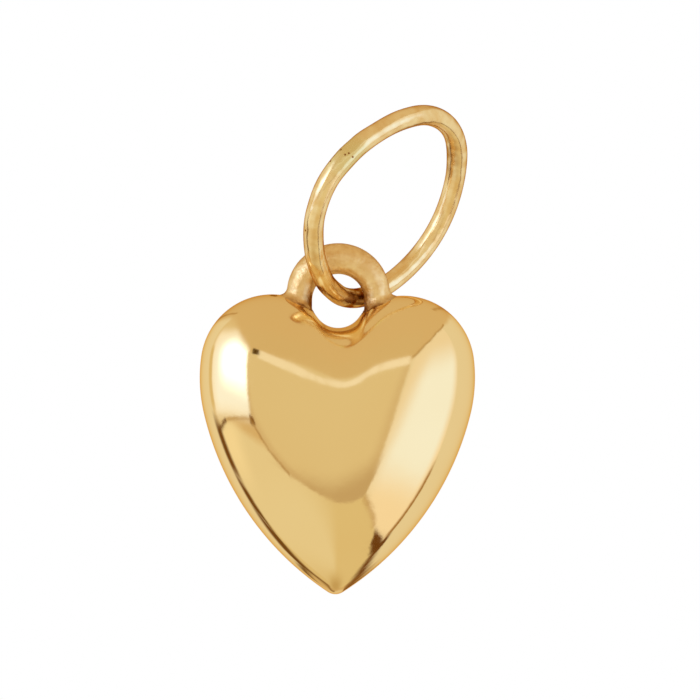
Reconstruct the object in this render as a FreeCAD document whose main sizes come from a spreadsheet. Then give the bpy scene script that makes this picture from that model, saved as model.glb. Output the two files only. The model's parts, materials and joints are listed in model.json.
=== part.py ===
import FreeCAD, Part
import cmath
import math
import os
import Sketcher
from FreeCAD import Placement, Rotation, Vector

# A hollow puffed heart of gold with a wire eye soldered over its cleft and a bent wire ring
# linked through the eye. The heart stands in the XZ plane with its face towards -Y. It is
# drawn about the centre of the eye, and every piece is then moved so that the origin lies
# where a chain bears, inside the far bend of the ring.

doc = FreeCAD.newDocument("puffy_heart_pendant")

# Driving sizes in millimetres and degrees.
sizes = doc.addObject("Spreadsheet::Sheet", "Sizes")
driving_sizes = [
    # The heart's outline: tangent arcs from the cleft over a lobe to the tip.
    ("lobe_offset", 2.38),
    ("lobe_radius", 2.60),
    ("flank_radius", 5.63),
    ("lower_radius", 10.70),
    ("shoulder_angle", 7.5),
    ("waist_angle", 13.6),
    ("crest_radius", 1.75),
    ("crest_angle", 100.0),
    ("cleft_radius", 0.95),
    ("tip_radius", 0.50),
    # The puffed crown.
    ("crown_height", 2.20),
    ("crown_softness", 0.35),
    # The eye over the cleft.
    ("eye_leg_wire", 0.90),
    ("eye_crown_wire", 1.12),
    ("eye_hole_radius", 0.95),
    ("eye_rise", 2.41),
    ("eye_leg_length", 1.50),
    # The ring: wire, bends one after another from the eye, and the way that it leans.
    ("ring_wire", 0.72),
    ("front_bend_radius", 4.71),
    ("front_bend_angle", 34.7),
    ("upper_bend_radius", 3.16),
    ("upper_bend_angle", 59.7),
    ("top_bend_radius", 4.30),
    ("top_bend_angle", 47.2),
    ("far_bend_radius", 2.56),
    ("far_bend_angle", 81.0),
    ("side_bend_radius", 4.99),
    ("side_bend_angle", 23.6),
    ("back_bend_angle", 62.0),
    ("ring_lean", 54.0),
    ("ring_turn", 46.0),
    ("ring_seat_x", -0.060),
    ("ring_seat_y", -0.121),
    ("ring_seat_z", 0.271),
]
for row, (alias, value) in enumerate(driving_sizes, start=1):
    sizes.set("A%d" % row, alias)
    sizes.set("B%d" % row, str(value))
    sizes.setAlias("B%d" % row, alias)
doc.recompute()


def size(alias):
    """The value of one driving size."""
    return float(sizes.get(alias))


def origin_plane(body, role):
    """One of a body's own origin planes."""
    return next(item for item in body.Origin.OriginFeatures if item.Role == role)


def sketch_on(body, name, role):
    """A sketch in a body, flat on one of its origin planes."""
    sketch = body.newObject("Sketcher::SketchObject", name)
    sketch.AttachmentSupport = [(origin_plane(body, role), "")]
    sketch.MapMode = "FlatFace"
    return sketch


def polar(centre, radius, angle):
    """The point at a radius and an angle from a centre, as (x, z)."""
    return centre[0] + radius * math.cos(angle), centre[1] + radius * math.sin(angle)


# The ring: one round wire bent into seven tangent arcs and soldered shut. It is drawn flat,
# from its lowest point in the eye, with its length along the body's X axis. The last bend's
# angle and the last two radii follow from the ring being closed.
FREE_BENDS = ["front", "upper", "top", "far", "side"]


def ring_arcs():
    """The ring's arcs as (centre, radius, start angle, end angle), one after another."""
    angles = [math.radians(size(name + "_bend_angle")) for name in FREE_BENDS + ["back"]]
    angles.append(2 * math.pi - sum(angles))
    radii = [size(name + "_bend_radius") for name in FREE_BENDS]
    headings = [math.pi + sum(angles[:index]) for index in range(len(angles) + 1)]
    chords = [
        (math.cos(after) - math.cos(before), math.sin(after) - math.sin(before))
        for before, after in zip(headings, headings[1:])
    ]
    missing_x = -sum(radius * chord[0] for radius, chord in zip(radii, chords))
    missing_y = -sum(radius * chord[1] for radius, chord in zip(radii, chords))
    back, lower = chords[-2:]
    spread = back[0] * lower[1] - back[1] * lower[0]
    radii.append((missing_x * lower[1] - missing_y * lower[0]) / spread)
    radii.append((back[0] * missing_y - back[1] * missing_x) / spread)
    arcs = []
    place = (0.0, 0.0)
    for radius, before, after in zip(radii, headings, headings[1:]):
        centre = polar(place, -radius, before)
        arcs.append((centre, radius, before, after))
        place = polar(centre, radius, after)
    return arcs


ring_bends = ring_arcs()

# The ring leans in the heart's plane, turns out of it about its own length, and sits in the
# eye. Its place there, and the far bend's inner side, fix where all the pieces go.
leaning = Rotation(Vector(0, -1, 0), size("ring_lean"))
length_axis = leaning.multVec(Vector(1, 0, 0))
turning = Rotation(length_axis, size("ring_turn"))
flat_to_upright = Rotation(Vector(1, 0, 0), -90)
ring_turned = turning.multiply(leaning).multiply(flat_to_upright)
ring_seat = Vector(size("ring_seat_x"), size("ring_seat_y"), size("ring_seat_z"))
far_centre, far_radius, far_start, far_end = ring_bends[3]
bearing_flat = polar(far_centre, far_radius - size("ring_wire") / 2, (far_start + far_end) / 2)
bearing = ring_seat + ring_turned.multVec(Vector(bearing_flat[0], bearing_flat[1], 0))
eye_centre = -bearing


# The heart's outline. Its right half is a chain of tangent arcs (centre, radius, start angle,
# end angle). The lobes' centres lie eye_rise below the centre of the eye.
def outline_arcs():
    """The right half's arcs, from the cleft's bottom to the tip."""
    crest_start = math.radians(size("crest_angle"))
    shoulder = math.radians(size("shoulder_angle"))
    waist = -math.radians(size("waist_angle"))
    lobe = size("lobe_radius")
    flank = size("flank_radius")
    lower = size("lower_radius")
    cleft = size("cleft_radius")
    crest = size("crest_radius")
    tip = size("tip_radius")
    lobe_centre = (size("lobe_offset"), -size("eye_rise"))
    crest_centre = polar(lobe_centre, lobe - crest, crest_start)
    flank_centre = polar(lobe_centre, lobe - flank, shoulder)
    lower_centre = polar(flank_centre, flank - lower, waist)
    cleft_rise = math.sqrt((crest + cleft) ** 2 - crest_centre[0] ** 2)
    cleft_centre = (0.0, crest_centre[1] + cleft_rise)
    cleft_end = math.atan2(-cleft_rise, crest_centre[0])
    tip_drop = math.sqrt((lower - tip) ** 2 - lower_centre[0] ** 2)
    tip_centre = (0.0, lower_centre[1] - tip_drop)
    tip_start = math.atan2(-tip_drop, -lower_centre[0])
    down = -math.pi / 2
    return [
        (cleft_centre, cleft, down, cleft_end),
        (crest_centre, crest, cleft_end + math.pi, crest_start),
        (lobe_centre, lobe, crest_start, shoulder),
        (flank_centre, flank, shoulder, waist),
        (lower_centre, lower, waist, tip_start),
        (tip_centre, tip, tip_start, down),
    ]


HALF_STEPS = 72
TURN_WEIGHT = 1.5


def outline_points():
    """Points along the right half, closer together where the outline turns faster.

    A step along an arc counts its length plus TURN_WEIGHT millimetres for each radian."""
    arcs = outline_arcs()
    weights = [abs(end - start) * (radius + TURN_WEIGHT) for _, radius, start, end in arcs]
    points = []
    for step in range(HALF_STEPS + 1):
        left = sum(weights) * step / HALF_STEPS
        index = 0
        while index < len(arcs) - 1 and left > weights[index]:
            left -= weights[index]
            index += 1
        centre, radius, start, end = arcs[index]
        share = min(1.0, left / weights[index])
        points.append(polar(centre, radius, start + (end - start) * share))
    return points


# The crown. Level by level the outline shrinks towards the middle of the heart while the
# crown rises as the quarter of an ellipse, so it meets the seam upright and is flat on top.
# Each harmonic of the outline shrinks faster than the one before it: the cleft dies out as
# a soft valley and the tip as a soft ridge.
CROWN_COLUMNS = 20
CROWN_LEVELS = 7
SEAM_TOLERANCE = 1e-6


def outline_harmonics():
    """The harmonics of the whole outline, as pairs of an order and a complex size."""
    half = [complex(x, z) for x, z in outline_points()]
    whole = half + [complex(-point.real, point.imag) for point in half[-2:0:-1]]
    count = len(whole)
    turn = -2j * math.pi / count
    return [
        (order, sum(p * cmath.exp(turn * order * i) for i, p in enumerate(whole)) / count)
        for order in range(-count // 2, count // 2)
    ]


def level_points(harmonics, level):
    """The right half's points as complex numbers at a level from 0, the top, to pi / 2."""
    shrink = math.sin(level)
    softness = size("crown_softness")
    sizes_here = [
        (order, part * shrink ** (1 + softness * (abs(order) - 1)) if order else part)
        for order, part in harmonics
    ]
    turn = 1j * math.pi / CROWN_COLUMNS
    return [
        sum(part * cmath.exp(turn * order * step) for order, part in sizes_here)
        for step in range(CROWN_COLUMNS + 1)
    ]


def curve_poles(points, start, end, places):
    """The poles of the cubic spline through points with given end tangents."""
    curve = Part.BSplineCurve()
    curve.interpolate(Points=points, Parameters=places, InitialTangent=start,
                      FinalTangent=end, Scale=False)
    return curve.getPoles()


def end_tangent(points, here, beside):
    """The tangent across the mirror plane, which lies along X."""
    return Vector(points[beside].x - points[here].x, 0, 0)


def crown_face():
    """The right half of the crown as one smooth face, from its top down to the seam."""
    height = size("crown_height")
    harmonics = outline_harmonics()
    levels = [math.pi / 2 * step / CROWN_LEVELS for step in range(CROWN_LEVELS + 1)]
    columns = [float(step) for step in range(CROWN_COLUMNS + 1)]
    rows = []
    for level in levels[1:]:
        points = level_points(harmonics, level)
        row = [Vector(p.real, -height * math.cos(level), p.imag) for p in points]
        row[0].x = 0.0
        row[-1].x = 0.0
        rows.append(curve_poles(row, end_tangent(row, 0, 1), end_tangent(row, -2, -1), columns))
    middle = dict(harmonics)[0].imag
    top = Vector(0, -height, middle)
    first = [(order, part) for order, part in harmonics if abs(order) == 1]
    spread = level_points(first, math.pi / 2)
    outward = [Vector(p.real, 0, p.imag) for p in spread]
    outward = curve_poles(outward, end_tangent(outward, 0, 1), end_tangent(outward, -2, -1),
                          columns)
    upright = Vector(0, height, 0)
    poles = [
        curve_poles([top] + [row[index] for row in rows], outward[index], upright, levels)
        for index in range(len(rows[0]))
    ]
    surface = Part.BSplineSurface()
    surface.buildFromPolesMultsKnots(
        poles, [4] + [1] * (len(columns) - 2) + [4], [4] + [1] * (len(levels) - 2) + [4],
        columns, levels, False, False, 3, 3)
    return surface.toShape()


def crown_solid():
    """Half a heart: the crown's two mirrored faces closed by a flat face at the seam."""
    right = crown_face()
    left = right.mirror(Vector(0, 0, 0), Vector(1, 0, 0))
    seam = [edge for face in (right, left) for edge in face.Edges
            if not edge.Degenerated and abs(edge.CenterOfMass.y) < SEAM_TOLERANCE]
    flat = Part.Face(Part.Wire(Part.__sortEdges__(seam)))
    shell = Part.makeShell([right, left, flat])
    shell.sewShape()
    solid = Part.Solid(shell)
    if solid.Volume < 0:
        solid.reverse()
    return solid


# The two halves of the heart, soldered rim to rim at the seam. The real ones are struck from
# thin sheet. Nothing shows or opens the space inside, so each half is solid here.
front_half = doc.addObject("Part::Feature", "heart_front_half")
front_half.Shape = crown_solid()
front_half.Placement = Placement(eye_centre, Rotation())
back_half = doc.addObject("Part::Mirroring", "heart_back_half")
back_half.Source = front_half
back_half.Base = (0, eye_centre.y, 0)
back_half.Normal = (0, 1, 0)

# The eye: a thick wire bent into an arch, drawn out thinner from its crown to its legs, which
# are coped to the heart's shoulders.
eye_blank = doc.addObject("PartDesign::Body", "eye_blank")
eye_blank.Placement = Placement(eye_centre, Rotation())


def wire_circle(sketch, wire, side):
    """A wire's round section against the eye's hole, bound to the sheet.

    It lies on the sketch's first axis, or for a crown on its second, on the side of the
    centre that is 1 or -1. The wire is named as in the sheet."""
    radius = size(wire) / 2
    reach = side * (size("eye_hole_radius") + radius)
    upright = wire == "eye_crown_wire"
    centre = Vector(0, reach, 0) if upright else Vector(reach, 0, 0)
    circle = sketch.addGeometry(Part.Circle(centre, Vector(0, 0, 1), radius), False)
    sketch.addConstraint(Sketcher.Constraint("PointOnObject", circle, 3, -2 if upright else -1))
    place = sketch.addConstraint(Sketcher.Constraint(
        "DistanceY" if upright else "DistanceX", -1, 1, circle, 3, reach))
    sketch.setExpression("Constraints[%d]" % place,
                         "%d * (Sizes.eye_hole_radius + Sizes.%s / 2)" % (side, wire))
    width = sketch.addConstraint(Sketcher.Constraint("Diameter", circle, 2 * radius))
    sketch.setExpression("Constraints[%d]" % width, "Sizes.%s" % wire)


right_section = sketch_on(eye_blank, "right_section", "XY_Plane")
wire_circle(right_section, "eye_leg_wire", 1)
left_section = sketch_on(eye_blank, "left_section", "XY_Plane")
wire_circle(left_section, "eye_leg_wire", -1)
crown_section = sketch_on(eye_blank, "crown_section", "YZ_Plane")
wire_circle(crown_section, "eye_crown_wire", 1)

arch_path = sketch_on(eye_blank, "arch_path", "XZ_Plane")
path_circle = Part.Circle(Vector(0, 0, 0), Vector(0, 0, 1), size("eye_hole_radius"))
path_arc = arch_path.addGeometry(Part.ArcOfCircle(path_circle, 0, math.pi), False)
arch_path.addConstraint(Sketcher.Constraint("Coincident", path_arc, 3, -1, 1))
for end in (1, 2):
    arch_path.addConstraint(Sketcher.Constraint("PointOnObject", path_arc, end, -1))
reach = arch_path.addConstraint(
    Sketcher.Constraint("Radius", path_arc, size("eye_hole_radius")))
arch_path.setExpression("Constraints[%d]" % reach,
                        "Sizes.eye_hole_radius + Sizes.eye_leg_wire / 2")

arch = eye_blank.newObject("PartDesign::AdditivePipe", "arch")
arch.Profile = right_section
arch.Spine = (arch_path, ["Edge1"])
arch.Sections = [(crown_section, [""]), (left_section, [""])]
arch.Transformation = "Multisection"

leg_sections = sketch_on(eye_blank, "leg_sections", "XY_Plane")
wire_circle(leg_sections, "eye_leg_wire", 1)
wire_circle(leg_sections, "eye_leg_wire", -1)
legs = eye_blank.newObject("PartDesign::Pad", "legs")
legs.Profile = leg_sections
legs.setExpression("Length", "Sizes.eye_leg_length")
legs.Reversed = True
eye_blank.Tip = legs

whole_heart = doc.addObject("Part::Fuse", "whole_heart")
whole_heart.Base = front_half
whole_heart.Tool = back_half
eye_loop = doc.addObject("Part::Cut", "eye_loop")
eye_loop.Base = eye_blank
eye_loop.Tool = whole_heart

# The ring's bends as parts of tori, joined into one wire.
bends = []
for index, (centre, radius, start, end) in enumerate(ring_bends):
    bend = doc.addObject("Part::Torus", "bend_%d" % (index + 1))
    bend.Radius1 = radius
    bend.setExpression("Radius2", "Sizes.ring_wire / 2")
    bend.Angle1 = -180
    bend.Angle2 = 180
    bend.Angle3 = math.degrees(end - start)
    bend.Placement = Placement(
        Vector(centre[0], centre[1], 0), Rotation(Vector(0, 0, 1), math.degrees(start)))
    bends.append(bend)
for bend, name in zip(bends, FREE_BENDS):
    bend.setExpression("Radius1", "Sizes.%s_bend_radius" % name)
jump_ring = doc.addObject("Part::MultiFuse", "jump_ring")
jump_ring.Shapes = bends
jump_ring.Placement = Placement(ring_seat - bearing, ring_turned)

doc.recompute()

nodes = [front_half, back_half, eye_loop, jump_ring]
for item in doc.Objects:
    if "Invalid" in item.State or "Error" in item.State:
        raise RuntimeError("%s could not be built" % item.Label)
for piece in nodes:
    if piece.Shape.isNull() or not piece.Shape.isValid() or len(piece.Shape.Solids) != 1:
        raise RuntimeError("%s is not one sound solid" % piece.Label)

os.makedirs("parts", exist_ok=True)
for piece in nodes:
    piece.Shape.exportStep("parts/%s.step" % piece.Label)
    print(piece.Label, "volume %.3f mm3" % piece.Shape.Volume)
print("hinge at the eye's centre, x %.4f y %.4f z %.4f" % tuple(eye_centre))
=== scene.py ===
"""The looks of a puffed gold heart pendant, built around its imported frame."""
import json
import math
import bpy
import numpy as np
from mathutils import Matrix


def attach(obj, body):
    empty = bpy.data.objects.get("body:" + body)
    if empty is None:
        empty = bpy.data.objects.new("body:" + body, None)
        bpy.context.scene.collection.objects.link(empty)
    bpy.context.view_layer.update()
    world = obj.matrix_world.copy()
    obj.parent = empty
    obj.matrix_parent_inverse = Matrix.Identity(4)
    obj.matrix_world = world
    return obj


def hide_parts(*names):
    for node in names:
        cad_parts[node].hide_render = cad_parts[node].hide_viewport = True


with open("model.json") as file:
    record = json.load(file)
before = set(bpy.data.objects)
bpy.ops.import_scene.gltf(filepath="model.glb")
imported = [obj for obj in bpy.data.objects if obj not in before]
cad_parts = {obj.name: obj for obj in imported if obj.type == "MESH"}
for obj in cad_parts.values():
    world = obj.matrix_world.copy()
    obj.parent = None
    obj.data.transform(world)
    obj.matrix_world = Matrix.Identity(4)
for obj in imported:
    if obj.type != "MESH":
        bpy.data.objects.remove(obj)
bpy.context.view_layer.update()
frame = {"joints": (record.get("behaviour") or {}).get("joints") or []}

# The heart: two crowns struck from thin 14 carat yellow gold sheet, soldered rim to rim, with the
# seam filed and polished away, so that they are one closed skin here. Its drawing starts from the
# centre of the eye, in millimetres.
MM = 0.001
EYE_CENTRE = np.array(frame["joints"][0]["pos_m"])
LOBE_OFFSET, LOBE_RADIUS, LOBE_DROP = 2.38, 2.60, 2.41
FLANK_RADIUS, LOWER_RADIUS = 5.63, 10.70
CREST_RADIUS, CLEFT_RADIUS, TIP_RADIUS = 1.75, 0.95, 0.50
CREST_ANGLE, SHOULDER_ANGLE, WAIST_ANGLE = np.radians([100.0, 7.5, -13.6])
CROWN_HEIGHT, CROWN_SOFTNESS = 2.20, 0.35
HEART_COLUMNS, HEART_ROWS, TURN_WORTH = 384, 96, 1.5


def to_frame(x, y, z):
    """Millimetres about the centre of the eye, as points in metres in the frame."""
    return np.stack(np.broadcast_arrays(x, y, z), axis=-1) * MM + EYE_CENTRE


def heart_outline(count):
    """The right half's count + 1 points, as x + iz, from the cleft over the lobe to the tip.

    Six tangent arcs follow one another: cleft, crest, lobe, flank, lower side, tip. A step
    along an arc counts its length plus TURN_WORTH millimetres for each radian of turn, so
    points crowd at the bends."""
    lobe_centre = complex(LOBE_OFFSET, -LOBE_DROP)
    crest_centre = lobe_centre + (LOBE_RADIUS - CREST_RADIUS) * np.exp(1j * CREST_ANGLE)
    flank_centre = lobe_centre + (LOBE_RADIUS - FLANK_RADIUS) * np.exp(1j * SHOULDER_ANGLE)
    lower_centre = flank_centre + (FLANK_RADIUS - LOWER_RADIUS) * np.exp(1j * WAIST_ANGLE)
    cleft_rise = math.sqrt((CREST_RADIUS + CLEFT_RADIUS) ** 2 - crest_centre.real ** 2)
    cleft_end = math.atan2(-cleft_rise, crest_centre.real)
    tip_drop = math.sqrt((LOWER_RADIUS - TIP_RADIUS) ** 2 - lower_centre.real ** 2)
    tip_start = math.atan2(-tip_drop, -lower_centre.real)
    centres = np.array([
        1j * (crest_centre.imag + cleft_rise), crest_centre, lobe_centre, flank_centre,
        lower_centre, 1j * (lower_centre.imag - tip_drop)])
    radii = np.array([
        CLEFT_RADIUS, CREST_RADIUS, LOBE_RADIUS, FLANK_RADIUS, LOWER_RADIUS, TIP_RADIUS])
    starts = np.array([
        -math.pi / 2, cleft_end + math.pi, CREST_ANGLE, SHOULDER_ANGLE, WAIST_ANGLE, tip_start])
    ends = np.array([
        cleft_end, CREST_ANGLE, SHOULDER_ANGLE, WAIST_ANGLE, tip_start, -math.pi / 2])
    weights = np.abs(ends - starts) * (radii + TURN_WORTH)
    joins = np.concatenate([[0.0], np.cumsum(weights)])
    places = np.linspace(0.0, joins[-1], count + 1)
    arc = np.clip(np.searchsorted(joins, places, side="right") - 1, 0, len(radii) - 1)
    share = (places - joins[arc]) / weights[arc]
    angles = starts[arc] + (ends - starts)[arc] * share
    return centres[arc] + radii[arc] * np.exp(1j * angles)


def heart_surface(columns, rows):
    """Rows of points from the front's highest point over the seam to the back's.

    The outline is split into harmonics. At a level a, from 0 on top to 90 degrees at the seam,
    harmonic k is scaled by sin(a) to the power 1 + softness (|k| - 1), and the crown stands
    height cos(a) out. The cleft dies out as a valley and the tip as a ridge."""
    half = heart_outline(columns // 2)
    half[[0, -1]] = 1j * half[[0, -1]].imag  # its two ends lie on the middle line
    whole = np.concatenate([half, -np.conj(half[-2:0:-1])])
    harmonics = np.fft.fft(whole)
    order = np.abs(np.fft.fftfreq(columns, 1.0 / columns))
    level = np.linspace(0.0, math.pi, 2 * rows + 1)[1:-1, None]
    power = np.where(order == 0, 0.0, 1 + CROWN_SOFTNESS * (order - 1))
    outlines = np.fft.ifft(harmonics * np.sin(level) ** power)
    y = -CROWN_HEIGHT * np.cos(level)
    middle = (harmonics[0] / columns).imag
    poles = to_frame(0.0, np.array([-CROWN_HEIGHT, CROWN_HEIGHT]), middle)
    return to_frame(outlines.real, y, outlines.imag), poles


def grid_faces(rows, columns, closed_rows=False):
    """Quads of a grid whose columns close on themselves, and whose rows may too."""
    low = np.arange(rows if closed_rows else rows - 1)[:, None]
    here = np.arange(columns)[None, :]
    after = (here + 1) % columns
    up = (low + 1) % rows
    quads = [low * columns + here, low * columns + after, up * columns + after,
             up * columns + here]
    return np.stack(np.broadcast_arrays(*quads), axis=-1).reshape(-1, 4).tolist()


def end_faces(rows, columns):
    """Triangles that close a grid's first and last rows on the two points that follow it."""
    here = np.arange(columns)
    after = (here + 1) % columns
    first_end = np.full_like(here, rows * columns)
    last_row = (rows - 1) * columns
    return (np.stack([first_end, after, here], axis=-1).tolist()
            + np.stack([first_end + 1, last_row + here, last_row + after], axis=-1).tolist())


def smooth_mesh(name, points, faces, body, slot, material, **marks):
    """A smooth-shaded mesh object that rides on a body, its faces turned outwards.

    They point inwards where the volume, a sixth of the sum of a . (b x c) over the triangles, is
    negative. Marks are arrays with one number for each point, kept for the material."""
    mesh = bpy.data.meshes.new(name)
    mesh.from_pydata(points.reshape(-1, 3).tolist(), [], faces)
    for mark, values in marks.items():
        mesh.attributes.new(mark, "FLOAT", "POINT").data.foreach_set("value", values.ravel())
    mesh.validate()
    corners = np.zeros(len(mesh.vertices) * 3)
    mesh.vertices.foreach_get("co", corners)
    mesh.calc_loop_triangles()
    sides = np.zeros(len(mesh.loop_triangles) * 3, np.int32)
    mesh.loop_triangles.foreach_get("vertices", sides)
    a, b, c = np.moveaxis(corners.reshape(-1, 3)[sides.reshape(-1, 3)], 1, 0)
    if np.einsum("ij,ij->", a, np.cross(b, c)) < 0:
        mesh.flip_normals()
    mesh.polygons.foreach_set("use_smooth", np.ones(len(mesh.polygons), bool))
    mesh.materials.append(material)
    piece = bpy.data.objects.new(name, mesh)
    bpy.context.scene.collection.objects.link(piece)
    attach(piece, body)
    return piece


def linear(hex_colour):
    """An sRGB hex colour as linear red, green, blue and alpha."""
    parts = [int(hex_colour[i:i + 2], 16) / 255 for i in (1, 3, 5)]
    return [p / 12.92 if p <= 0.04045 else ((p + 0.055) / 1.055) ** 2.4 for p in parts] + [1.0]


def add(tree, kind, inputs=(), out=0, **settings):
    """An output, if it has any, of a new node with its settings. Its inputs are outputs to link,
    hex colours or plain values."""
    node = tree.nodes.new(kind)
    for name, value in settings.items():
        setattr(node, name, value)
    for socket, value in dict(inputs).items():
        if isinstance(value, bpy.types.NodeSocket):
            tree.links.new(value, node.inputs[socket])
        else:
            node.inputs[socket].default_value = linear(value) if isinstance(value, str) else value
    return node.outputs[out] if len(node.outputs) else None


def new_material(name):
    """An empty material and its node tree."""
    material = bpy.data.materials.new(name)
    material.use_nodes = True
    material.node_tree.nodes.clear()
    return material, material.node_tree


def pits(tree, place, points, radius):
    """1 in small round pits about some points, given in millimetres from the eye's centre: the
    greatest of their shares, each falling from 1 to 0 between 0.5 and 1.2 radii away."""
    found = 0.0
    for point in points:
        away = add(tree, "ShaderNodeVectorMath", {0: place, 1: to_frame(*point)}, "Value",
                   operation="DISTANCE")
        inside = add(tree, "ShaderNodeMapRange", {
            "Value": away, "From Min": 0.5 * radius * MM, "From Max": 1.2 * radius * MM,
            "To Min": 1.0, "To Max": 0.0})
        found = add(tree, "ShaderNodeMath", {0: found, 1: inside}, operation="MAXIMUM")
    return found


# Yellow gold of 14 carats, buffed to a mirror. The viewer sees sharp reflections that the
# wheel has left very slightly wavy, with hairline scuffs from wear, drawn coarser than real
# ones so that they show. Where the wheel can't reach, in the cleft and round the eye's feet,
# the gold is duller, and brown polish with painted shade darkens it there. Two small pits lie
# on the left lobe's top. The sizes of scuffs, brown blots and clouds of tone are in millimetres.
HEART_SCUFF, HEART_BLOT, HEART_CLOUD = 0.35, 0.30, 2.6
SEAM_PITS, SEAM_PIT_RADIUS = [(-2.409, -0.287, 0.151), (-2.325, -0.323, 0.141)], 0.11
polished_gold, tree = new_material("polished_14_carat_gold")
place = add(tree, "ShaderNodeTexCoord", out="Object")
clouds = add(tree, "ShaderNodeTexNoise", {
    "Vector": place, "Scale": 1 / (HEART_CLOUD * MM), "Detail": 1.0})
scuffs = add(tree, "ShaderNodeTexNoise", {
    "Vector": place, "Scale": 1 / (HEART_SCUFF * MM), "Detail": 3.0})
blots = add(tree, "ShaderNodeTexNoise", {
    "Vector": place, "Scale": 1 / (HEART_BLOT * MM), "Detail": 3.0})
# This mark makes the gold duller where the wheel misses. Where it misses most, it also darkens
# the gold with painted shade and brown polish.
unreached = add(tree, "ShaderNodeAttribute", out="Fac", attribute_name="unreached")
clean_tone = add(tree, "ShaderNodeMix", {0: clouds, 6: "#fae2ae", 7: "#fce7b6"}, 2,
                 data_type="RGBA")
# Painted shade with brown polish: where the wheel misses most, in the cleft and round the feet,
# the gold darkens to brown in blots.
least_reached_shade = add(tree, "ShaderNodeMapRange", {
    "Value": unreached, "From Min": 0.45, "From Max": 1.0})
patchy = add(tree, "ShaderNodeMapRange", {"Value": blots, "From Min": 0.40, "From Max": 0.62})
dirt_and_shade = add(tree, "ShaderNodeMath", {0: least_reached_shade, 1: patchy}, operation="MULTIPLY")
dirt_and_shade = add(tree, "ShaderNodeMath", {
    0: dirt_and_shade, 1: pits(tree, place, SEAM_PITS, SEAM_PIT_RADIUS)}, operation="MAXIMUM")
tone = add(tree, "ShaderNodeMix", {0: dirt_and_shade, 6: clean_tone, 7: "#96601f"}, 2, data_type="RGBA")
gloss = add(tree, "ShaderNodeMapRange", {
    "Value": scuffs, "From Min": 0.35, "From Max": 0.75, "To Min": 0.035, "To Max": 0.075})
dull = add(tree, "ShaderNodeMath", {0: unreached, 1: 0.22, 2: gloss}, operation="MULTIPLY_ADD")
wavy = add(tree, "ShaderNodeBump", {"Strength": 0.05, "Distance": 0.02 * MM, "Height": scuffs})
shine = add(tree, "ShaderNodeBsdfPrincipled", {
    "Base Color": tone, "Metallic": 1.0, "Roughness": dull, "Specular Tint": "#f0c88c",
    "Normal": wavy})
add(tree, "ShaderNodeOutputMaterial", {"Surface": shine})

skin, poles = heart_surface(HEART_COLUMNS, HEART_ROWS)
heart_faces = grid_faces(len(skin), HEART_COLUMNS) + end_faces(len(skin), HEART_COLUMNS)
heart_points = np.concatenate([skin.reshape(-1, 3), poles])
x, y, z = ((heart_points - EYE_CENTRE) / MM).T
# What the wheel misses: a thin band round each foot, mostly on its inner side, the seam in the
# cleft, and by half a wider round below the eye. Where it misses most, in the bands and the
# seam, brown polish and painted shade darken the gold.
FOOT_REACH, FOOT_RADIUS, FOOT_LEVEL, FOOT_BAND = 1.40, 0.62, -1.5, 0.09
CLEFT_REACH, CLEFT_LEVEL, CLEFT_BAND = 1.25, -1.3, 0.30
ROUND_DROP, ROUND_REACH, ROUND_SHARE = 0.5, 2.7, 0.42
from_foot = np.hypot(np.abs(x) - FOOT_REACH, y) - FOOT_RADIUS
round_feet = np.where(z > FOOT_LEVEL, np.exp(-np.clip(from_foot, 0.0, None) / FOOT_BAND), 0.0)
round_feet *= 1.0 - 0.7 * np.clip((np.abs(x) - FOOT_REACH) / FOOT_RADIUS, 0.0, 1.0)
in_cleft = np.where(z > CLEFT_LEVEL, np.exp(-(y / CLEFT_BAND) ** 2), 0.0)
in_cleft *= np.clip((CLEFT_REACH - np.abs(x)) / CLEFT_BAND, 0.0, 1.0)
below_eye = ROUND_SHARE * np.exp(-(np.hypot(x, z + ROUND_DROP) / ROUND_REACH) ** 4)
heart = smooth_mesh(
    "heart_skin", heart_points, heart_faces, "heart", "polished_gold", polished_gold,
    unreached=np.max([round_feet, in_cleft, below_eye], axis=0))
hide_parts("heart_front_half", "heart_back_half")

# The eye: a thick gold wire bent to an arch, drawn thinner from the crown to its legs. They are
# coped to the lobes' shoulders on either side of the cleft, where the solder has run into
# fillets.
EYE_HOLE, EYE_LEG = 0.95, 1.50
LEG_RADIUS, CROWN_RADIUS = 0.45, 0.56
EYE_STEPS, EYE_SIDES = 360, 64

# Gold wire as it left the barrel: a soft satin with fine scuffs, not polished after soldering.
# The scuffs are drawn coarser than real ones so that they show. Brown polish and painted shade
# stay in the corners with the heart, and painted shadow lies on the inner side of the legs.
EYE_SCUFF, EYE_BLOT, EYE_CLOUD = 0.12, 0.25, 0.35
satin_gold, tree = new_material("barrel_satin_14_carat_gold_wire")
place = add(tree, "ShaderNodeTexCoord", out="Object")
scuffs = add(tree, "ShaderNodeTexNoise", {
    "Vector": place, "Scale": 1 / (EYE_SCUFF * MM), "Detail": 4.0, "Roughness": 0.6})
blots = add(tree, "ShaderNodeTexNoise", {
    "Vector": place, "Scale": 1 / (EYE_BLOT * MM), "Detail": 3.0})
clouds = add(tree, "ShaderNodeTexNoise", {
    "Vector": place, "Scale": 1 / (EYE_CLOUD * MM), "Detail": 3.0})
pale = add(tree, "ShaderNodeMapRange", {"Value": clouds, "From Min": 0.35, "From Max": 0.65})
clean_tone = add(tree, "ShaderNodeMix", {0: pale, 6: "#efcd94", 7: "#fee6b6"}, 2,
                 data_type="RGBA")
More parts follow.
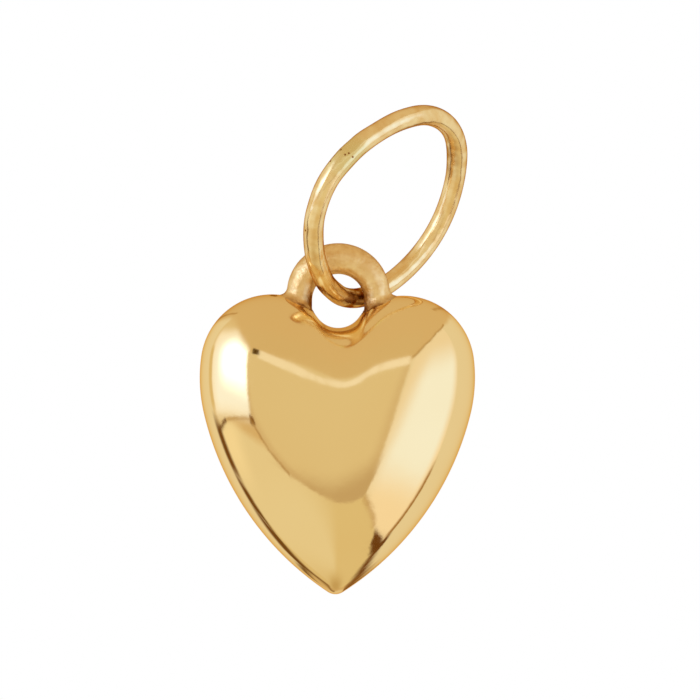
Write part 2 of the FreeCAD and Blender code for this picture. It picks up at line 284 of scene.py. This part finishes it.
# Painted shade with brown polish in the corners at the skin, and painted shadow on the legs'
# inner side, darken the wire to brown in blots.
corners = add(tree, "ShaderNodeAttribute", out="Fac", attribute_name="corner")
patchy = add(tree, "ShaderNodeMapRange", {
    "Value": blots, "From Min": 0.38, "From Max": 0.60, "To Min": 0.25, "To Max": 1.0})
dirt_and_shade = add(tree, "ShaderNodeMath", {0: corners, 1: patchy}, operation="MULTIPLY")
tone = add(tree, "ShaderNodeMix", {0: dirt_and_shade, 6: clean_tone, 7: "#8e5c26"}, 2, data_type="RGBA")
satin = add(tree, "ShaderNodeMapRange", {
    "Value": scuffs, "From Min": 0.35, "From Max": 0.70, "To Min": 0.30, "To Max": 0.46})
coarse = add(tree, "ShaderNodeBump", {"Strength": 0.5, "Distance": 0.04 * MM, "Height": blots})
fine = add(tree, "ShaderNodeBump", {
    "Strength": 0.7, "Distance": 0.03 * MM, "Height": scuffs, "Normal": coarse})
shine = add(tree, "ShaderNodeBsdfPrincipled", {
    "Base Color": tone, "Metallic": 1.0, "Roughness": satin, "Specular Tint": "#c08a50",
    "Normal": fine})
add(tree, "ShaderNodeOutputMaterial", {"Surface": shine})


def tube(path, sideways, normal, radius, sides):
    """A section carried along a path.

    Each ring of points is the path's point plus radius times cos(t) along its sideways
    direction and sin(t) along the normal of the path's plane."""
    t = np.linspace(0.0, 2 * math.pi, sides, endpoint=False)[None, :, None]
    return path[:, None] + radius * (np.cos(t) * sideways[:, None] + np.sin(t) * normal)


arch_length = math.pi * (EYE_HOLE + LEG_RADIUS)
run = np.linspace(0.0, 2 * EYE_LEG + arch_length, EYE_STEPS + 1)
bend = np.clip((run - EYE_LEG) / (EYE_HOLE + LEG_RADIUS), 0.0, math.pi)
drop = np.where(run < EYE_LEG, EYE_LEG - run, np.maximum(run - EYE_LEG - arch_length, 0.0))
sideways = np.stack([-np.cos(bend), np.zeros_like(bend), np.sin(bend)], axis=-1)
from_crown = 1.0 - np.minimum(bend, math.pi - bend) / (math.pi / 2)
eye_radius = CROWN_RADIUS - (CROWN_RADIUS - LEG_RADIUS) * from_crown ** 2
eye_path = (EYE_HOLE + eye_radius)[:, None] * sideways
eye_path[:, 2] -= drop
eye_radius = np.repeat(eye_radius[:, None], EYE_SIDES, axis=1)
wire_only = tube(eye_path, sideways, np.array([0.0, 1.0, 0.0]), eye_radius[..., None], EYE_SIDES)
t = np.linspace(0.0, 2 * math.pi, EYE_SIDES, endpoint=False)

# The fillets: near its feet the wire widens by a quarter circle above the skin, more on the
# outer side, less at the back and a little unevenly. How far is found by repeated steps. Below
# LEG_END, inside the lobes, the leg is LEG_SPREAD wider all round.
FILLET, FILLET_OUT, FILLET_BACK, FILLET_WAVE = 0.22, 0.09, -0.05, 0.02
FILLET_TOP, FILLET_STEPS = 0.75, 5
LEG_END, LEG_SPREAD = -1.1, 0.1
# The skin looked at round the right foot: its least and greatest x, and greatest y either way.
FOOT_LEFT, FOOT_RIGHT, FOOT_DEPTH = 0.5, 2.7, 1.2


def heart_top(x, y):
    """The height of the heart's skin near the eye's feet: the mean of the skin's points,
    each weighed by one over the fourth power of its distance, which 0.01 mm keeps from nil. The
    heart is symmetric, so only the points about the right foot are taken."""
    near = (skin.reshape(-1, 3) - EYE_CENTRE) / MM
    near = near[(near[:, 2] > CLEFT_LEVEL) & (np.abs(near[:, 1]) < FOOT_DEPTH)
                & (near[:, 0] > FOOT_LEFT) & (near[:, 0] < FOOT_RIGHT)]
    away = (np.abs(x)[:, None] - near[:, 0]) ** 2 + (y[:, None] - near[:, 1]) ** 2
    weight = 1.0 / (away + 1e-4) ** 2
    return (weight @ near[:, 2]) / weight.sum(axis=1)


fillet = np.broadcast_to(FILLET + FILLET_OUT * np.cos(t) + FILLET_BACK * np.sin(t)
                         + FILLET_WAVE * np.sin(3 * t + 1.0), eye_radius.shape)
low = (wire_only[:, :, 2] < FILLET_TOP) & (wire_only[:, :, 2] > LEG_END)
outward = (wire_only - eye_path[:, None]) / eye_radius[..., None]
spread = np.zeros_like(eye_radius)
spread[wire_only[:, :, 2] <= LEG_END] = LEG_SPREAD
height = np.full_like(eye_radius, 1.0)
for _ in range(FILLET_STEPS):
    moved = (wire_only + spread[..., None] * outward)[low]
    height[low] = moved[:, 2] - heart_top(moved[:, 0], moved[:, 1])
    rise = np.clip(1.0 - height[low] / fillet[low], 0.0, 1.0)
    spread[low] = 0.5 * spread[low] + 0.5 * fillet[low] * (1.0 - np.sqrt(1.0 - rise ** 2))
eye_rings = wire_only + spread[..., None] * outward

# Brown polish and painted shade lie in the corner at the skin, less on its outer side, and
# painted shadow lies on the legs' inner side, less on the right.
CORNER_BAND = 0.07
INNER_TOP, INNER_FADE, RIGHT_SHARE = 0.2, 0.25, 0.6
corner = np.where(low, np.exp(-np.clip(height, 0.0, None) / CORNER_BAND), 0.0)
corner *= 1.0 - 0.75 * np.clip(1.3 * np.cos(t), 0.0, 1.0)
# Painted shadow on the legs' inner side, fading upwards.
inner_side_shadow = np.clip(-np.cos(t) * 1.5 - 0.2, 0.0, 1.0) * np.exp(
    -np.clip(wire_only[:, :, 2] - INNER_TOP, 0.0, None) / INNER_FADE)
corner = np.maximum(corner, np.where(wire_only[:, :, 0] < 0.0, 1.0, RIGHT_SHARE) * inner_side_shadow)
corner = np.concatenate([corner.ravel(), [0.0, 0.0]])
eye_points = np.concatenate([eye_rings.reshape(-1, 3), eye_path[[0, -1]]])
eye_faces = grid_faces(EYE_STEPS + 1, EYE_SIDES) + end_faces(EYE_STEPS + 1, EYE_SIDES)
eye = smooth_mesh("soldered_eye", to_frame(*eye_points.T), eye_faces, "heart", "satin_gold",
                  satin_gold, corner=corner)
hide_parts("eye_loop")

# The ring: one gold wire bent by hand to an irregular oval, passed through the eye and soldered
# shut. Its bends are radii in millimetres and angles in degrees, from its lowest point on.
RING_BENDS = [(4.71, 34.7), (3.16, 59.7), (4.30, 47.2), (2.56, 81.0), (4.99, 23.6)]
BACK_BEND_ANGLE = 62.0
RING_LEAN, RING_TURN = math.radians(54.0), math.radians(46.0)
RING_SEAT = np.array([-0.060, -0.121, 0.271])
RING_STEPS, RING_SIDES = 1200, 48
# Along the ring: millimetres from its lowest point, the wire's radius there, and how far the
# wire has been bent out of its arcs.
RING_GAUGE = [
    (0.0, 0.360, 0.020), (0.8, 0.360, 0.045), (2.0, 0.365, 0.0), (3.1, 0.370, -0.035),
    (4.2, 0.365, 0.0), (5.4, 0.375, 0.050), (6.4, 0.400, 0.020), (7.1, 0.385, 0.0),
    (8.1, 0.365, -0.045), (9.2, 0.375, -0.030), (10.6, 0.370, -0.010), (12.0, 0.362, 0.0),
    (13.1, 0.380, -0.020), (14.2, 0.362, 0.0), (16.5, 0.360, 0.010), (18.5, 0.360, 0.0),
    (20.6, 0.360, 0.0), (21.6, 0.360, 0.020)]

# Gold wire polished in the barrel: brighter than the eye, with soft streaks of light, dents
# from the pliers and a duller, greener patch of solder with a few pits at its joint. The
# scuffs are drawn coarser than real ones so that they show. Brown polish and painted shade lie
# where the ring rubs in the eye and inside its far bend.
RING_SCUFF, RING_DENT, RING_BLOT, RING_CLOUD = 0.10, 0.55, 0.30, 0.5
JOINT_PITS = [(-0.037, -3.391, 5.246), (0.240, -3.365, 5.163), (-0.546, -3.233, 5.001),
              (0.098, -3.386, 5.299), (-0.173, -3.222, 5.415), (-1.389, -2.575, 2.501)]
JOINT_PIT_RADIUS = 0.045
wire_gold, tree = new_material("barrel_polished_14_carat_gold_wire")
place = add(tree, "ShaderNodeTexCoord", out="Object")
scuffs = add(tree, "ShaderNodeTexNoise", {
    "Vector": place, "Scale": 1 / (RING_SCUFF * MM), "Detail": 4.0, "Roughness": 0.6})
dents = add(tree, "ShaderNodeTexNoise", {
    "Vector": place, "Scale": 1 / (RING_DENT * MM), "Detail": 1.0})
blots = add(tree, "ShaderNodeTexNoise", {
    "Vector": place, "Scale": 1 / (RING_BLOT * MM), "Detail": 3.0})
clouds = add(tree, "ShaderNodeTexNoise", {
    "Vector": place, "Scale": 1 / (RING_CLOUD * MM), "Detail": 2.0})
pale = add(tree, "ShaderNodeMapRange", {"Value": clouds, "From Min": 0.35, "From Max": 0.65})
wire_tone = add(tree, "ShaderNodeMix", {0: pale, 6: "#f3d49c", 7: "#ffedc2"}, 2,
                data_type="RGBA")
soldered = add(tree, "ShaderNodeAttribute", out="Fac", attribute_name="solder")
clean_tone = add(tree, "ShaderNodeMix", {0: soldered, 6: wire_tone, 7: "#efe2ae"}, 2,
                 data_type="RGBA")
# Painted shade with brown polish: where the ring rubs in the eye and inside its far bend, the
# wire darkens to brown in blots.
browned = add(tree, "ShaderNodeAttribute", out="Fac", attribute_name="brown")
patchy = add(tree, "ShaderNodeMapRange", {
    "Value": blots, "From Min": 0.36, "From Max": 0.60, "To Min": 0.3, "To Max": 1.0})
dirt_and_shade = add(tree, "ShaderNodeMath", {0: browned, 1: patchy}, operation="MULTIPLY")
dirt_and_shade = add(tree, "ShaderNodeMath", {
    0: dirt_and_shade, 1: pits(tree, place, JOINT_PITS, JOINT_PIT_RADIUS)}, operation="MAXIMUM")
tone = add(tree, "ShaderNodeMix", {0: dirt_and_shade, 6: clean_tone, 7: "#94581c"}, 2, data_type="RGBA")
gloss = add(tree, "ShaderNodeMapRange", {
    "Value": scuffs, "From Min": 0.35, "From Max": 0.70, "To Min": 0.15, "To Max": 0.21})
dull = add(tree, "ShaderNodeMath", {0: soldered, 1: 0.06, 2: gloss}, operation="MULTIPLY_ADD")
coarse = add(tree, "ShaderNodeBump", {"Strength": 0.5, "Distance": 0.07 * MM, "Height": dents})
fine = add(tree, "ShaderNodeBump", {
    "Strength": 0.05, "Distance": 0.015 * MM, "Height": scuffs, "Normal": coarse})
shine = add(tree, "ShaderNodeBsdfPrincipled", {
    "Base Color": tone, "Metallic": 1.0, "Roughness": dull, "Specular Tint": "#c48c50",
    "Normal": fine})
add(tree, "ShaderNodeOutputMaterial", {"Surface": shine})


def ring_path(steps):
    """The wire's middle line and its outward direction, as complex numbers in its own plane,
    and how far along the wire each point lies.

    Seven tangent arcs follow one another from the ring's lowest point. The last arc's angle and
    the last two radii follow from the ring being closed."""
    angles = np.radians([angle for _, angle in RING_BENDS] + [BACK_BEND_ANGLE])
    angles = np.append(angles, 2 * math.pi - angles.sum())
    heading = math.pi + np.concatenate([[0.0], np.cumsum(angles)])
    chords = np.diff(np.exp(1j * heading))
    radii = np.array([radius for radius, _ in RING_BENDS])
    missing = -(radii * chords[:-2]).sum()
    closing = np.linalg.solve(
        [chords[-2:].real, chords[-2:].imag], [missing.real, missing.imag])
    radii = np.concatenate([radii, closing])
    starts = np.concatenate([[0.0], np.cumsum(radii * chords)])[:-1]
    centres = starts - radii * np.exp(1j * heading[:-1])
    joins = np.concatenate([[0.0], np.cumsum(radii * angles)])
    places = np.linspace(0.0, joins[-1], steps, endpoint=False)
    arc = np.searchsorted(joins, places, side="right") - 1
    outward = np.exp(1j * (heading[arc] + (places - joins[arc]) / radii[arc]))
    return centres[arc] + radii[arc] * outward, outward, places


along = np.array([math.cos(RING_LEAN), 0.0, math.sin(RING_LEAN)])
upright = np.array([-math.sin(RING_LEAN), 0.0, math.cos(RING_LEAN)])
across = np.array([0.0, -1.0, 0.0]) * math.sin(RING_TURN) + upright * math.cos(RING_TURN)
ring_normal = np.cross(along, across)
middle_line, outward, ring_run = ring_path(RING_STEPS)
ring_middle = (RING_SEAT + middle_line.real[:, None] * along
               - middle_line.imag[:, None] * across)
ring_outward = outward.real[:, None] * along - outward.imag[:, None] * across
stations, gauges, shifts = np.array(RING_GAUGE).T
step = np.clip(np.searchsorted(stations, ring_run, side="right") - 1, 0, len(stations) - 2)
share = (ring_run - stations[step]) / (stations[step + 1] - stations[step])
share = share ** 2 * (3 - 2 * share)
gauge = gauges[step] + (gauges[step + 1] - gauges[step]) * share
shift = shifts[step] + (shifts[step + 1] - shifts[step]) * share
ring_middle += shift[:, None] * ring_outward
t = np.linspace(0.0, 2 * math.pi, RING_SIDES, endpoint=False)
ring_length = ring_run[1] * RING_STEPS


def near_run(centre, reach):
    """1 at a place along the ring, falling off on both sides as e to the power of minus the
    fourth power of the distance over the reach."""
    away = np.abs((ring_run - centre + ring_length / 2) % ring_length - ring_length / 2)
    return np.exp(-(away / reach) ** 4)[:, None]


# The joint was filed, which leaves four faint flats round the wire, JOINT_FLATS of its radius
# deep. Brown polish and painted shade lie where the ring rubs in the eye and inside its far bend.
JOINT_RUN, JOINT_REACH, JOINT_FLATS = 6.5, 0.75, 0.035
RUBBED_SHADED_RUN, RUBBED_SHADED_REACH = 20.7, 0.62
STAINED_SHADED_RUN, STAINED_SHADED_REACH, STAINED_SHADED_SHARE = 13.2, 0.8, 0.55
all_round = np.ones_like(t)
solder = near_run(JOINT_RUN, JOINT_REACH)
section = gauge[:, None] * (1 + JOINT_FLATS * solder * np.cos(4 * t + 0.8))
ring_rings = tube(ring_middle, ring_outward, ring_normal, section[..., None], RING_SIDES)
# Painted shade with brown polish all round the wire where the ring rubs in the eye, and on the
# inner side of its far bend.
rubbed_and_shaded = near_run(RUBBED_SHADED_RUN, RUBBED_SHADED_REACH) * all_round
stained_and_shaded = near_run(STAINED_SHADED_RUN, STAINED_SHADED_REACH) * np.clip(-np.cos(t) - 0.1, 0.0, 1.0)
ring = smooth_mesh(
    "bent_ring", to_frame(*ring_rings.reshape(-1, 3).T),
    grid_faces(RING_STEPS, RING_SIDES, closed_rows=True), "ring", "satin_gold", wire_gold,
    solder=solder * all_round, brown=np.maximum(rubbed_and_shaded, STAINED_SHADED_SHARE * stained_and_shaded))
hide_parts("jump_ring")

# The studio: a level camera a little to the left, 0.6 m away, and round the pendant a light tent
# that only the gold mirrors, because polished gold shows little but what stands round it.
# Camera and floor get a plain white backdrop.
VIEW_TURN = math.radians(-4.0)
OBJECT_ROLL = math.radians(0.57)  # how far the pendant hangs out of plumb
PIXELS_PER_MM = 27.56
PICTURE_SIZE = 700
EYE_PIXEL = (338.2, 300.2)
CAMERA_DISTANCE = 600.0
SENSOR_WIDTH = 36.0

ahead = np.array([-math.sin(VIEW_TURN), math.cos(VIEW_TURN), 0.0])
right = np.array([math.cos(VIEW_TURN), math.sin(VIEW_TURN), 0.0])
up = np.array([0.0, 0.0, 1.0])
camera_right = math.cos(OBJECT_ROLL) * right + math.sin(OBJECT_ROLL) * up
camera_up = math.cos(OBJECT_ROLL) * up - math.sin(OBJECT_ROLL) * right
beside = (PICTURE_SIZE / 2 - EYE_PIXEL[0]) / PIXELS_PER_MM
below = (PICTURE_SIZE / 2 - EYE_PIXEL[1]) / PIXELS_PER_MM
aim = EYE_CENTRE + MM * (beside * camera_right - below * camera_up)
spot = aim - CAMERA_DISTANCE * MM * ahead
lens = bpy.data.cameras.new("camera")
lens.sensor_width = SENSOR_WIDTH
lens.lens = SENSOR_WIDTH * CAMERA_DISTANCE * PIXELS_PER_MM / PICTURE_SIZE
lens.clip_start, lens.clip_end = 0.01, 20.0
camera = bpy.data.objects.new("camera", lens)
camera.matrix_world = Matrix([
    [camera_right[i], camera_up[i], -ahead[i], spot[i]] for i in range(3)] + [[0, 0, 0, 1]])
bpy.context.scene.collection.objects.link(camera)
bpy.context.scene.camera = camera
bpy.context.scene.view_settings.view_transform = "Standard"

# What the gold mirrors, as patches of directions around the pendant. Each corner is degrees
# to the right of the camera, degrees up and the softness of the edge that leaves it,
# counterclockwise, and each patch has a colour and a strength.
TENT_WALL = ("#ffe0ac", 0.70)
TENT_PATCHES = [
    # the room's lower half in front, lighter on the left
    ([(-130, -95, 8), (130, -95, 8), (130, -20, 3), (-130, -20, 8)], "#ffeab8", 0.75),
    ([(-90, -60, 30), (0, -60, 30), (-10, -18, 4), (-90, -14, 8)], "#fff2d0", 0.82),
    ([(-84, -30, 16), (-62, -30, 18), (-54, -14, 8), (-86, -17, 8)], "#fff2d2", 0.94),
    # the shade straight below
    ([(-200, -130, 30), (200, -130, 30), (200, -70, 34), (-200, -70, 30)], "#ffdc9c", 0.58),
    # the lit side rooms, on the left in two parts and on the right
    ([(-178, 0, 6), (-150, -36, 3), (-125, -48, 3), (-100, -46, 3), (-91, -38, 4), (-88, 48, 8),
      (-95, 50, 12), (-120, 42, 10), (-150, 22, 8)], "#fff4da", 0.84),
    ([(-92, -19, 2), (-36, -11, 2), (-33, 22, 3), (-45, 36, 10), (-65, 48, 14), (-92, 50, 8)],
     "#ffeac0", 0.77),
    ([(27, -15, 3), (30, -24, 2), (45, -33, 2), (60, -40, 2), (75, -44, 2), (90, -47, 2),
      (110, -49, 2), (130, -45, 2), (150, -36, 3), (170, -15, 4), (178, 0, 5), (150, 30, 6),
      (118, 42, 5), (87, 43, 2), (62, 37.5, 2), (46, 28.5, 2), (36, 20.5, 2)], "#fff4da", 0.82),
    # the dark gap at the foot of the right window
    ([(47, -34, 1.2), (64, -43.5, 1.5), (80, -47.5, 2), (93, -47, 2), (87, -42, 3)], "#cd843c",
     0.26),
    # daylight on the left, brightest in its inner half
    ([(-87, -15, 5), (-35, -10, 3), (-32, 16, 3), (-34, 26, 8), (-52, 40, 14), (-87, 36, 12)],
     "#fffaf6", 1.00),
    ([(-78, -12, 10), (-35, -9, 5), (-33, 22, 12), (-46, 34, 22), (-78, 26, 20)],
     "#e6eeff", 1.30),
    ([(-64, 2, 14), (-36, 0, 6), (-34, 22, 10), (-46, 30, 16), (-64, 24, 18)],
     "#e4ecff", 2.6),
    # daylight on the right, warmer at its foot
    ([(28, -21, 4), (31, -24, 2), (50, -36, 2), (64, -40.2, 1.5), (80, -43, 3), (77, 40.5, 4),
      (62, 36.5, 2), (46, 27.5, 2), (37, 19.5, 3)], "#fff2dc", 0.89),
    ([(31, -24, 3), (50, -36, 2), (64, -40.2, 1.5), (80, -43, 3), (79, -16, 14), (38, -12, 12)],
     "#fff0da", 0.96),
    ([(29, -18, 12), (66, -30, 18), (74, -30, 12), (76, 19, 26), (43, 16, 18), (33, -8, 12)],
     "#e8f1ff", 1.20),
    # the dim middle in front, shaded towards its lower edge
    ([(-38, -12, 1), (-31, -18, 1), (-23, -21.8, 1), (-12, -23, 1), (29, -23.6, 1.5), (33, 5, 3),
      (35, 18, 3), (-33, 22, 3)], "#ffe6ba", 0.69),
    ([(-35, -9, 6), (-29, -16, 4), (-21, -20, 3), (-11, -21.6, 3), (27, -22, 6), (31, 5, 8),
      (35, 22, 3), (-34, 22, 3)], "#ffecc2", 0.76),
    ([(-24, -21.9, 1), (-12, -23, 1), (29, -23.6, 1.5), (31, -16, 9), (-2, -18, 9)], "#fbdcac",
     0.60),
    # the wall above it, between the windows
    ([(-30, 22, 3), (36, 20, 3), (48, 40, 16), (-46, 42, 16)], "#ffe2ae", 0.69),
    # the backdrop behind the pendant, on both sides
    ([(-200, -60, 20), (-150, -60, 24), (-150, -4, 20), (-200, -4, 20)], "#fff4dc", 0.84),
    ([(150, -60, 20), (200, -60, 20), (200, -4, 20), (150, -4, 24)], "#fff4dc", 0.84),
    # a shaded stretch of floor far on the left, and a dim upright on each side
    ([(-175, -64, 14), (-112, -64, 14), (-112, -52, 10), (-175, -50, 14)], "#e0b070", 0.45),
    ([(-93, -12, 6), (-84, -12, 6), (-84, 20, 8), (-93, 20, 8)], "#ffe6b0", 0.74),
    ([(77, -42, 3), (83, -42, 3), (82, -24, 6), (78, -24, 6)], "#e0a860", 0.52),
    # dark clips at the foot of the left window and at the left end of the strip of light
    ([(-39.5, -12.5, 1.2), (-35.5, -12, 1.2), (-36, -9.5, 1.2), (-39, -9.5, 1.2)], "#c89048",
     0.42),
    ([(-30.5, 21, 1.2), (-25.5, 20.5, 1.2), (-25.5, 24.5, 1.2), (-30.5, 25, 1.2)], "#a07838",
     0.30),
]
# Bands that follow a line: its points, the band's width and softness, a colour and a strength.
TENT_LINES = [
    # the strip of light over the dim middle
    ([(-26, 21.4), (-3, 15.4)], 6.2, 1.8, "#fff6e6", 0.93),
    ([(-7, 16.2), (1, 14.7), (5, 14.6), (13, 15.8)], 4.8, 1.8, "#fff6e6", 0.93),
    ([(9, 15.6), (14, 18.0), (17, 19.2)], 5.2, 1.8, "#fff7ea", 0.94),
    ([(14, 18.6), (20, 19.8), (35, 19.2)], 5.6, 1.8, "#fff7ea", 0.95),
    # seams and shaded edges of the windows and of the side rooms
    ([(-91, -16), (-93, -30), (-99, -41), (-122, -50)], 14.0, 9.0, "#c08038", 0.34),
    ([(-92, -18.5), (-80, -17.5), (-68, -15)], 1.2, 1.4, "#a87030", 0.40),
    ([(-68, -15), (-50, -12.5), (-38, -10.5)], 0.8, 1.6, "#e8bc78", 0.62),
    ([(-38, -11.5), (-31, -18), (-23, -21.8)], 0.8, 1.8, "#e0b070", 0.58),
    ([(29, -23.6), (45, -33), (50, -36)], 0.8, 2.4, "#e8bc7c", 0.62),
    ([(36, 20.5), (46, 28.5), (62, 37.5), (86, 43.5)], 1.0, 2.0, "#e2b26a", 0.60),
    ([(85, -46), (95, -48.5), (110, -49), (130, -45)], 4.0, 4.0, "#c07c3c", 0.34),
    ([(130, -45), (150, -36), (165, -22)], 6.0, 6.0, "#c88c48", 0.44),
    ([(-92, -38), (-100, -46), (-125, -48), (-150, -36)], 3.0, 4.0, "#b07c38", 0.40),
    ([(-160, 16), (-140, 34), (-120, 48), (-100, 56)], 1.6, 4.0, "#e4aa5c", 0.56),
    ([(118, 56), (134, 50), (152, 36), (170, 14)], 2.0, 5.0, "#e8b468", 0.60),
]


def tint(colour, strength):
    """A linear colour times a strength."""
    return [part * strength for part in linear(colour)[:3]] + [1.0]


def cover_of(tree, place, corners):
    """How far a direction lies inside a patch: the product, over its edges, of a smooth step in
    the distance inwards from the edge, as wide as the edge is soft."""
    cover = 1.0
    for (x0, y0, softness), (x1, y1, _) in zip(corners, corners[1:] + corners[:1]):
        length = math.hypot(x1 - x0, y1 - y0)
        inward = ((y0 - y1) / length, (x1 - x0) / length)
        offset = -(inward[0] * x0 + inward[1] * y0)
        depth = add(tree, "ShaderNodeVectorMath", {0: place, 1: (*inward, offset)}, "Value",
                    operation="DOT_PRODUCT")
        inside = add(tree, "ShaderNodeMapRange", {
            "Value": depth, "From Min": -softness / 2, "From Max": softness / 2},
            interpolation_type="SMOOTHSTEP")
        cover = add(tree, "ShaderNodeMath", {0: cover, 1: inside}, operation="MULTIPLY")
    return cover


def cover_of_line(tree, place, points, width, softness):
    """How far a direction lies inside a band along a line: the greatest cover among its straight
    parts. A part's cover is the product of two smooth steps in the distance from its middle,
    one across it and one along it."""
    cover = 0.0
    for (x0, y0), (x1, y1) in zip(points, points[1:]):
        length = math.hypot(x1 - x0, y1 - y0)
        part = 1.0
        for (x, y), half, edge in (
                (((y0 - y1) / length, (x1 - x0) / length), width / 2, softness / 2),
                (((x1 - x0) / length, (y1 - y0) / length), length / 2, width / 4)):
            offset = -(x * (x0 + x1) + y * (y0 + y1)) / 2
            signed = add(tree, "ShaderNodeVectorMath", {0: place, 1: (x, y, offset)}, "Value",
                         operation="DOT_PRODUCT")
            away = add(tree, "ShaderNodeMath", {0: signed}, operation="ABSOLUTE")
            inside = add(tree, "ShaderNodeMapRange", {
                "Value": away, "From Min": half + edge, "From Max": half - edge},
                interpolation_type="SMOOTHSTEP")
            part = add(tree, "ShaderNodeMath", {0: part, 1: inside}, operation="MULTIPLY")
        cover = add(tree, "ShaderNodeMath", {0: cover, 1: part}, operation="MAXIMUM")
    return cover


world = bpy.data.worlds.new("light_tent")
bpy.context.scene.world = world
world.use_nodes = True
tree = world.node_tree
tree.nodes.clear()
direction = add(tree, "ShaderNodeTexCoord", out="Generated")
to_right, to_camera, to_top = [
    add(tree, "ShaderNodeVectorMath", {0: direction, 1: axis}, "Value", operation="DOT_PRODUCT")
    for axis in (right, -ahead, up)]
turn = add(tree, "ShaderNodeMath", {0: to_right, 1: to_camera}, operation="ARCTAN2")
rise = add(tree, "ShaderNodeMath", {0: to_top}, operation="ARCSINE")
turn, rise = [add(tree, "ShaderNodeMath", {0: angle}, operation="DEGREES")
              for angle in (turn, rise)]
place = add(tree, "ShaderNodeCombineXYZ", {"X": turn, "Y": rise, "Z": 1.0})
tent = tint(*TENT_WALL)
layers = [(cover_of(tree, place, corners), tint(*look)) for corners, *look in TENT_PATCHES]
layers += [(cover_of_line(tree, place, points, width, softness), tint(*look))
           for points, width, softness, *look in TENT_LINES]
for cover, colour in layers:
    tent = add(tree, "ShaderNodeMix", {0: cover, 6: tent, 7: colour}, 2, data_type="RGBA")
glow = add(tree, "ShaderNodeBackground", {"Color": tent})
backdrop = add(tree, "ShaderNodeBackground", {"Color": "#ffffff"})
mirrored = add(tree, "ShaderNodeLightPath", out="Is Glossy Ray")
either = add(tree, "ShaderNodeMixShader", {0: mirrored, 1: backdrop, 2: glow})
add(tree, "ShaderNodeOutputWorld", {"Surface": either})
world.cycles.sampling_method = "NONE"

# Pale board well below the pendant, clear from beneath. It isn't mirrored in the gold, where the
# tent stands for it.
FLOOR_DROP, FLOOR_REACH = 38.0, 700.0
floor_mesh = bpy.data.meshes.new("floor")
reach = FLOOR_REACH * MM
level = EYE_CENTRE[2] - FLOOR_DROP * MM
floor_mesh.from_pydata(
    [(-reach, -reach, level), (reach, -reach, level), (reach, reach, level),
     (-reach, reach, level)], [], [(0, 1, 2, 3)])
floor = bpy.data.objects.new("floor", floor_mesh)
bpy.context.scene.collection.objects.link(floor)
pale_board, tree = new_material("pale_board")
beneath = add(tree, "ShaderNodeNewGeometry", out="Backfacing")
board = add(tree, "ShaderNodeBsdfDiffuse", {"Color": "#f4f2ee"})
clear = add(tree, "ShaderNodeBsdfTransparent")
either = add(tree, "ShaderNodeMixShader", {0: beneath, 1: board, 2: clear})
add(tree, "ShaderNodeOutputMaterial", {"Surface": either})
floor_mesh.materials.append(pale_board)
floor.visible_glossy = False
